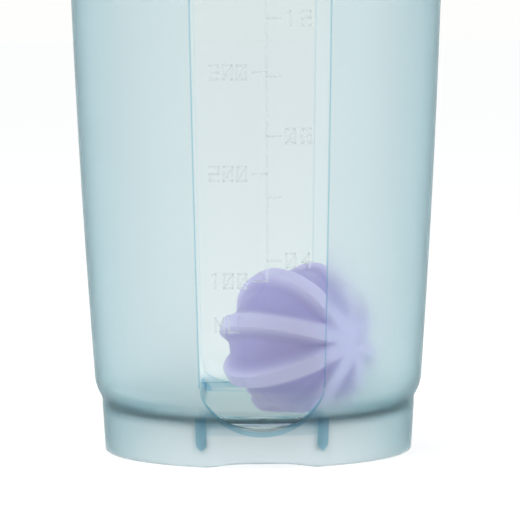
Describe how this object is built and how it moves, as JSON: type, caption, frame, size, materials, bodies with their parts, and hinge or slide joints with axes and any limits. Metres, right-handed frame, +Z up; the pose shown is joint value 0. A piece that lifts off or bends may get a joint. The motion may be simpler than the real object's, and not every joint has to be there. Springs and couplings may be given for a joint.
{
  "type": "protein shaker bottle",
  "caption": "Translucent shaker cup on a skirted foot with clear gauge windows, a loose ribbed mixer ball, and a screw lid with spout, flip cap and bail handle.",
  "frame": {"origin": "centre of the foot, on the surface the bottle stands on", "axes": "+Z up along the bottle; the gauge window and the spout face -Y; +X to the viewer's right"},
  "size_m": [0.0902, 0.0902, 0.21],
  "materials": {
    "cup": "frosted outside, polished in the windows",
    "gauge": "raised marks",
    "ball": "satin",
    "lid": "satin",
    "silicone": "soft translucent silicone",
    "pin": "drawn"
  },
  "bodies": {
    "bottle": {"cup": "cup", "gauge_marks": "gauge"},
    "mixer_ball": {"mixer_ball_front": "ball", "mixer_ball_back": "ball"},
    "seal": {"lid_seal": "silicone"},
    "lid": {"lid_shell": "lid", "hinge_pin": "pin", "handle_pin_left": "pin", "handle_pin_right": "pin"},
    "cap": {"flip_cap": "lid", "cap_plug": "silicone", "vent_plug": "silicone"},
    "handle": {"carry_handle": "lid"}
  },
  "joints": [
    {"name": "lid_rise", "type": "slide", "parent": "bottle", "child": "seal", "axis": [0, 0, 1], "range_m": [0, 0.045]},
    {"name": "lid_turn", "type": "hinge", "parent": "seal", "child": "lid", "pos_m": [0, 0, 0.18], "axis": [0, 0, 1], "range_deg": [0, 1801]},
    {"name": "cap_open", "type": "hinge", "parent": "lid", "child": "cap", "pos_m": [0, 0.02, 0.2059], "axis": [-1, 0, 0], "range_deg": [0, 150]},
    {"name": "handle_swing", "type": "hinge", "parent": "lid", "child": "handle", "pos_m": [0, 0, 0.1963], "axis": [1, 0, 0], "range_deg": [0, 125]},
    {"name": "ball_lift", "type": "slide", "parent": "bottle", "child": "mixer_ball", "axis": [0, 0, 1], "range_m": [0, 0.138]}
  ],
  "couplings": [
    {"joint": "lid_turn", "follows": "lid_rise", "rad_per_m": 698.13}
  ]
}
